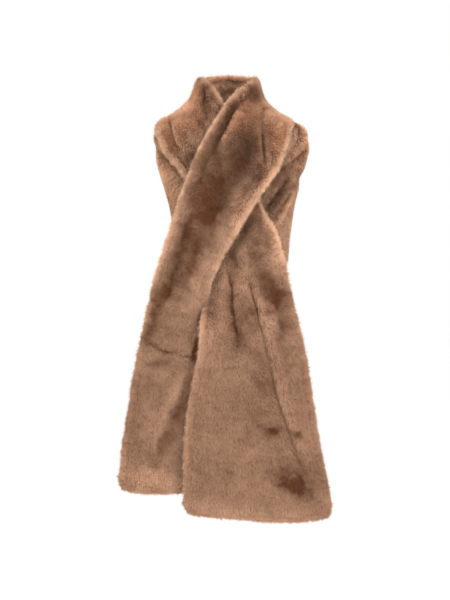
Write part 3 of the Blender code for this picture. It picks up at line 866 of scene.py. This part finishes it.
def pileMaterial(group):
    material, tree, shader = newMaterial("plushPile")
    link = tree.links.new
    tip = tree.nodes.new("ShaderNodeAttribute")
    tip.attribute_name = "tipShare"
    tone = tree.nodes.new("ShaderNodeAttribute")
    tone.attribute_name = "toneWithPaintedLight"
    shade = placeShade(tree, group)
    ramp = nodeOf(tree, "ShaderNodeMapRange",
                  **{"From Min": pileLook["tipFrom"], "From Max": pileLook["tipTo"]})
    ramp.interpolation_type = "SMOOTHSTEP"
    link(tip.outputs["Fac"], ramp.inputs["Value"])
    link(ramp.outputs["Result"], shade.inputs["Tip"])
    link(tone.outputs["Fac"], shade.inputs["Tone"])
    link(shade.outputs["Color"], shader.inputs["Base Color"])
    shader.inputs["Roughness"].default_value = pileLook["roughness"]
    shader.inputs["Specular IOR Level"].default_value = pileLook["specular"]
    shader.inputs["Sheen Weight"].default_value = pileLook["sheen"]
    shader.inputs["Sheen Roughness"].default_value = pileLook["sheenRoughness"]
    return material


# The underpile's colour leans to the root's: partly its own deeper colour, partly painted shade of the depth
# between the blades.
underpileLook = dict(tip=0.4, clumps=160.0, bump=0.5, bumpHeight=0.002, roughness=0.95)


def backingMaterial(group):
    material, tree, shader = newMaterial("underpile")
    link = tree.links.new
    coordinates = tree.nodes.new("ShaderNodeTexCoord")
    clumps = nodeOf(tree, "ShaderNodeTexNoise", Scale=underpileLook["clumps"], Detail=4.0)
    link(coordinates.outputs["Object"], clumps.inputs["Vector"])
    shade = placeShade(tree, group)
    shade.inputs["Tip"].default_value = underpileLook["tip"]
    link(clumps.outputs["Fac"], shade.inputs["Tone"])
    link(shade.outputs["Color"], shader.inputs["Base Color"])
    bump = nodeOf(tree, "ShaderNodeBump", Strength=underpileLook["bump"],
                  Distance=underpileLook["bumpHeight"])
    link(clumps.outputs["Fac"], bump.inputs["Height"])
    link(bump.outputs["Normal"], shader.inputs["Normal"])
    shader.inputs["Roughness"].default_value = underpileLook["roughness"]
    return material


# The blank woven label, its sizes in millimetres.
labelSizes = dict(
    width=38, height=18, thickness=1.2, x=2, z=24,
    tilt=0.2,  # how far it rises to the left, as a slope
    hem=1.6,  # the turned edge
    thin=0.72,  # the thickness inside the hem, as a share
    columns=39, rows=19,
    clearX=1, clearZ=2,  # how far round it the pile is left out
)
# The label's weave pattern, its threads coloured with painted shade and painted sheen.
labelLook = dict(
    threadShade=(0.62, 0.47, 0.37, 1), threadShine=(0.86, 0.74, 0.63, 1), warp=900.0, weft=700.0, wobble=0.4,
    bump=0.4, bumpHeight=0.0004, roughness=0.45,
)


def labelMaterial():
    material, tree, shader = newMaterial("labelSatin")
    link = tree.links.new
    coordinates = tree.nodes.new("ShaderNodeTexCoord")
    warp = nodeOf(tree, "ShaderNodeTexWave", Scale=labelLook["warp"], Distortion=labelLook["wobble"])
    warp.bands_direction = "X"
    weft = nodeOf(tree, "ShaderNodeTexWave", Scale=labelLook["weft"], Distortion=labelLook["wobble"])
    weft.bands_direction = "Z"
    for wave in (warp, weft):
        link(coordinates.outputs["Object"], wave.inputs["Vector"])
    both = tree.nodes.new("ShaderNodeMath")
    both.operation = "MULTIPLY"
    link(warp.outputs["Fac"], both.inputs[0])
    link(weft.outputs["Fac"], both.inputs[1])
    # Painted shade and painted sheen of the threads, mixed by the weave.
    colour = colourMix(tree)
    colour.inputs["A"].default_value = labelLook["threadShade"]
    colour.inputs["B"].default_value = labelLook["threadShine"]
    link(both.outputs["Value"], colour.inputs["Factor"])
    link(colour.outputs["Result"], shader.inputs["Base Color"])
    bump = nodeOf(tree, "ShaderNodeBump", Strength=labelLook["bump"],
                  Distance=labelLook["bumpHeight"])
    link(both.outputs["Value"], bump.inputs["Height"])
    link(bump.outputs["Normal"], shader.inputs["Normal"])
    shader.inputs["Roughness"].default_value = labelLook["roughness"]
    return material


# The label follows the inside of the collar, clear of the pile's tips.
def labelPoints(sideways, lift):
    sizes, down = ringTable()
    levels = np.linspace(0, down[-1], curveSteps["collar"])
    fine = smoothCurve(down, sizes, levels)
    heights = labelSizes["z"] * mm + lift + labelSizes["tilt"] * (sideways - labelSizes["x"] * mm)
    level = np.interp(-heights, -fine[:, spineHeight], levels)
    shift, halfWidth, back = (np.interp(level, levels, fine[:, k]) for k in range(backDepth + 1))
    turn = np.arcsin((sideways - shift) / halfWidth)
    return np.stack([sideways, back * np.cos(turn), heights], axis=1)


def makeLabel(material):
    across = np.linspace(-0.5, 0.5, labelSizes["columns"]) * labelSizes["width"]
    upward = np.linspace(0.5, -0.5, labelSizes["rows"]) * labelSizes["height"]
    grid = np.array([labelPoints((labelSizes["x"] + across) * mm, lift) for lift in upward * mm])
    inward = gridNormals(grid)
    inward *= -np.sign(inward[..., 1:2])
    rear = grid + inward * (cloth["reach"] + cloth["seamGap"]) * mm
    toSide = labelSizes["width"] / 2 - np.abs(across)[None, :]
    toTop = labelSizes["height"] / 2 - np.abs(upward)[:, None]
    folded = np.minimum(toSide, toTop) < labelSizes["hem"]
    thick = labelSizes["thickness"] * np.where(folded, 1.0, labelSizes["thin"]) * mm
    front = rear + inward * thick[..., None]
    return wallMesh("neckLabel", front, rear, material, True)


def clearOfLabel(root):
    x, z = root[:, 0] / mm - labelSizes["x"], root[:, 2] / mm - labelSizes["z"]
    z = z - labelSizes["tilt"] * x
    besideX = np.abs(x) < labelSizes["width"] / 2 + labelSizes["clearX"]
    besideZ = np.abs(z) < labelSizes["height"] / 2 + labelSizes["clearZ"]
    return ~(besideX & besideZ & (root[:, 1] > 0))


# The rows and columns of each stretch, the blades on each face, and the seed of its pile.
stretches = dict(
    over=dict(rows=110, columns=64, outer=190000, inner=100000, seed=12),
    under=dict(rows=116, columns=64, outer=196000, inner=100000, seed=10),
    back=dict(rows=121, columns=66, outer=170000, inner=130000, seed=51),
)
innerSeedStep = 20  # from the outer face's seed to the inner one's
# The sections of each front stretch, its side of the body and its folds.
frontShapes = dict(over=(overSections, 1, overFolds), under=(underSections, -1, underFolds))


def finishStretch(name, surface, flip, replaced, keep=None):
    sizes = stretches[name]
    seed = sizes["seed"]
    backing = backingWall(name + "Backing", surface, underpile, flip)
    outer = growPile(name + "PileOuter", surface, 1, sizes["outer"], name, plushPile, seed)
    inner = growPile(name + "PileInner", surface, -1, sizes["inner"], name + "Inner", plushPile,
                     seed + innerSeedStep, keep)
    print(name, "cloth", round(surface.width, 3), "x", round(surface.length, 3))
    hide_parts(*replaced)
    for piece in (backing, outer, inner):
        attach(piece, "root")


print("materials")
shadeGroup = pileShadeGroup()
plushPile = pileMaterial(shadeGroup)
underpile = backingMaterial(shadeGroup)

for name, (sections, side, folds) in frontShapes.items():
    rows, columns = stretches[name]["rows"], stretches[name]["columns"]
    surface = frontSurface(sections, side, seamRing[name], folds, rows, columns)
    finishStretch(name, surface, side < 0, [name + "_stretch"])
surface = backSurface(stretches["back"]["rows"], stretches["back"]["columns"])
finishStretch("back", surface, False, ["collar_stretch", "back_stretch"], clearOfLabel)

label = makeLabel(labelMaterial())
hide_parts("neck_label")
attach(label, "root")
print("label")

# The studio: a pale floor, soft light and the photo's view, in metres and watts.
studio = dict(
    distance=3.6, lens=96.0, sensor=36, aimX=-0.0135, aimZ=-0.423,
    floorZ=-1.45, floorHalf=40.0, floorColour=(0.95, 0.95, 0.95, 1), floorRoughness=0.9,
    world=1.05, lampAim=(0, 0, -0.4),
    # Each lamp's place, size and power.
    keyLight=((-1.3, -2.7, 1.4), 1.2, 52),
    fillLight=((1.6, -2.5, 0.9), 1.8, 52),
    topLight=((0.2, -0.7, 2.2), 1.6, 24),
)


def makeFloor():
    material, _, shader = newMaterial("paleFloor")
    shader.inputs["Base Color"].default_value = studio["floorColour"]
    shader.inputs["Roughness"].default_value = studio["floorRoughness"]
    corners = np.array([[-1, -1, 0], [1, -1, 0], [1, 1, 0], [-1, 1, 0]]) * studio["floorHalf"]
    corners[:, 2] = studio["floorZ"]
    floor = meshObject("studioFloor", corners, np.array([[0, 1, 2, 3]]), material, False)


def makeRoom():
    world = bpy.data.worlds.new("softRoom")
    world.use_nodes = True
    tree = world.node_tree
    link = tree.links.new
    room = tree.nodes["Background"]
    room.inputs["Color"].default_value = (1, 1, 1, 1)
    room.inputs["Strength"].default_value = studio["world"]
    seen = nodeOf(tree, "ShaderNodeBackground", Color=(1, 1, 1, 1), Strength=1.0)
    path = tree.nodes.new("ShaderNodeLightPath")
    both = tree.nodes.new("ShaderNodeMixShader")
    link(path.outputs["Is Camera Ray"], both.inputs[0])
    link(room.outputs[0], both.inputs[1])
    link(seen.outputs[0], both.inputs[2])
    link(both.outputs[0], tree.nodes["World Output"].inputs["Surface"])
    bpy.context.scene.world = world


def makeLamp(name):
    place, size, power = studio[name]
    light = bpy.data.lights.new(name, "AREA")
    light.size = size
    light.energy = power
    lamp = bpy.data.objects.new(name, light)
    lamp.location = place
    aim = np.array(studio["lampAim"]) - np.array(place)
    lamp.rotation_euler = (math.acos(-aim[2] / np.linalg.norm(aim)), 0, math.atan2(-aim[0], aim[1]))
    bpy.context.scene.collection.objects.link(lamp)


def makeCamera():
    camera = bpy.data.cameras.new("photoView")
    camera.lens = studio["lens"]
    camera.sensor_width = studio["sensor"]
    seat = bpy.data.objects.new("photoView", camera)
    seat.location = (studio["aimX"], -studio["distance"], studio["aimZ"])
    seat.rotation_euler = (math.radians(90), 0, 0)
    bpy.context.scene.collection.objects.link(seat)
    bpy.context.scene.camera = seat
    bpy.context.scene.view_settings.view_transform = "Standard"


makeFloor()
makeRoom()
for lampName in ("keyLight", "fillLight", "topLight"):
    makeLamp(lampName)
makeCamera()
print("studio ready")
